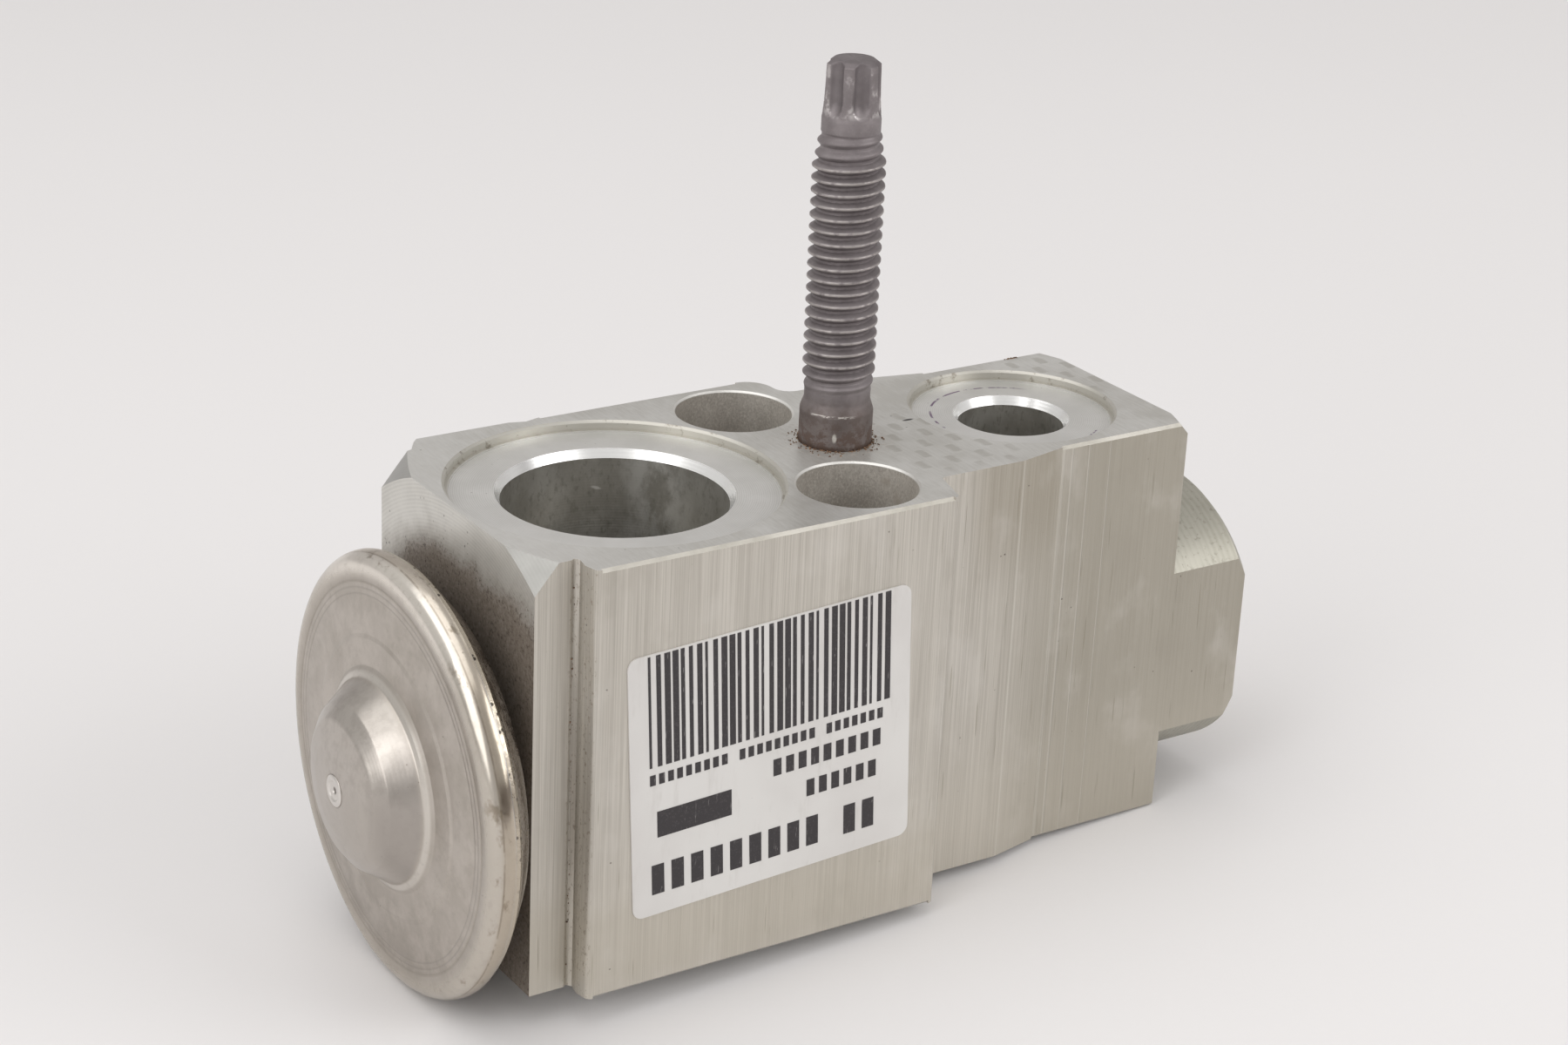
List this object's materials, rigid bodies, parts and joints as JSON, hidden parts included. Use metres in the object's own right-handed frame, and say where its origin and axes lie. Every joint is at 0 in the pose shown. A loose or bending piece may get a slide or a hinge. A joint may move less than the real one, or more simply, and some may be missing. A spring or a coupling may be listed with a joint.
{
  "type": "block expansion valve",
  "caption": "Aluminium block expansion valve with a round stainless power head, a clamp stud, flat port faces, and a sprung ball valve and adjusting screw inside.",
  "frame": {"origin": "midway between the two screw holes, on the evaporator-side face of the block", "axes": "+X along the valve axis from the power head to the adjusting screw; +Z along the screw holes, towards the stud; +Y away from the labelled side"},
  "size_m": [0.081, 0.0352, 0.0698],
  "materials": {
    "block_aluminium": "sawn and machined extrusion, satin with fine drawn lines",
    "phosphated_steel": "dark grey phosphate, dull",
    "label_paper": "satin film label",
    "label_ink": "printed, dull",
    "stainless_cap": "satin pressing with a polished rim",
    "stainless_base": "satin turned",
    "spring_steel": "bright ground",
    "turned_brass": "turned",
    "seal_rubber": "matt"
  },
  "bodies": {
    "valve_body": {"valve_block": "block_aluminium", "clamp_stud": "phosphated_steel", "label": "label_paper", "label_print": "label_ink", "head_cap": "stainless_cap", "charge_plug": "stainless_cap", "diaphragm": "spring_steel", "head_base": "stainless_base", "head_seal": "seal_rubber", "rod_seal": "seal_rubber", "seal_retainer": "spring_steel"},
    "valve_rod": {"diaphragm_plate": "turned_brass", "push_rod": "spring_steel", "valve_ball": "spring_steel", "ball_carrier": "turned_brass", "damper_spring": "spring_steel"},
    "spring_seat": {"spring_seat": "turned_brass", "superheat_spring": "spring_steel"},
    "adjuster": {"adjusting_screw": "turned_brass", "adjuster_seal": "seal_rubber"}
  },
  "joints": [
    {"name": "rod_stroke", "type": "slide", "parent": "valve_body", "child": "valve_rod", "axis": [1, 0, 0], "range_m": [0, 0.0009], "stiffness_N_per_m": 8000, "springref_m": -0.0005, "deforming": ["superheat_spring"]},
    {"name": "adjuster_travel", "type": "slide", "parent": "valve_body", "child": "spring_seat", "axis": [1, 0, 0], "range_m": [-0.001, 0.001], "deforming": ["superheat_spring"]},
    {"name": "adjuster_turn", "type": "hinge", "parent": "spring_seat", "child": "adjuster", "pos_m": [0.0324, 0, 0.0145], "axis": [1, 0, 0], "range_deg": [-360, 360]}
  ],
  "couplings": [
    {"joint": "adjuster_travel", "follows": "adjuster_turn", "m_per_rad": 0.00015915}
  ]
}
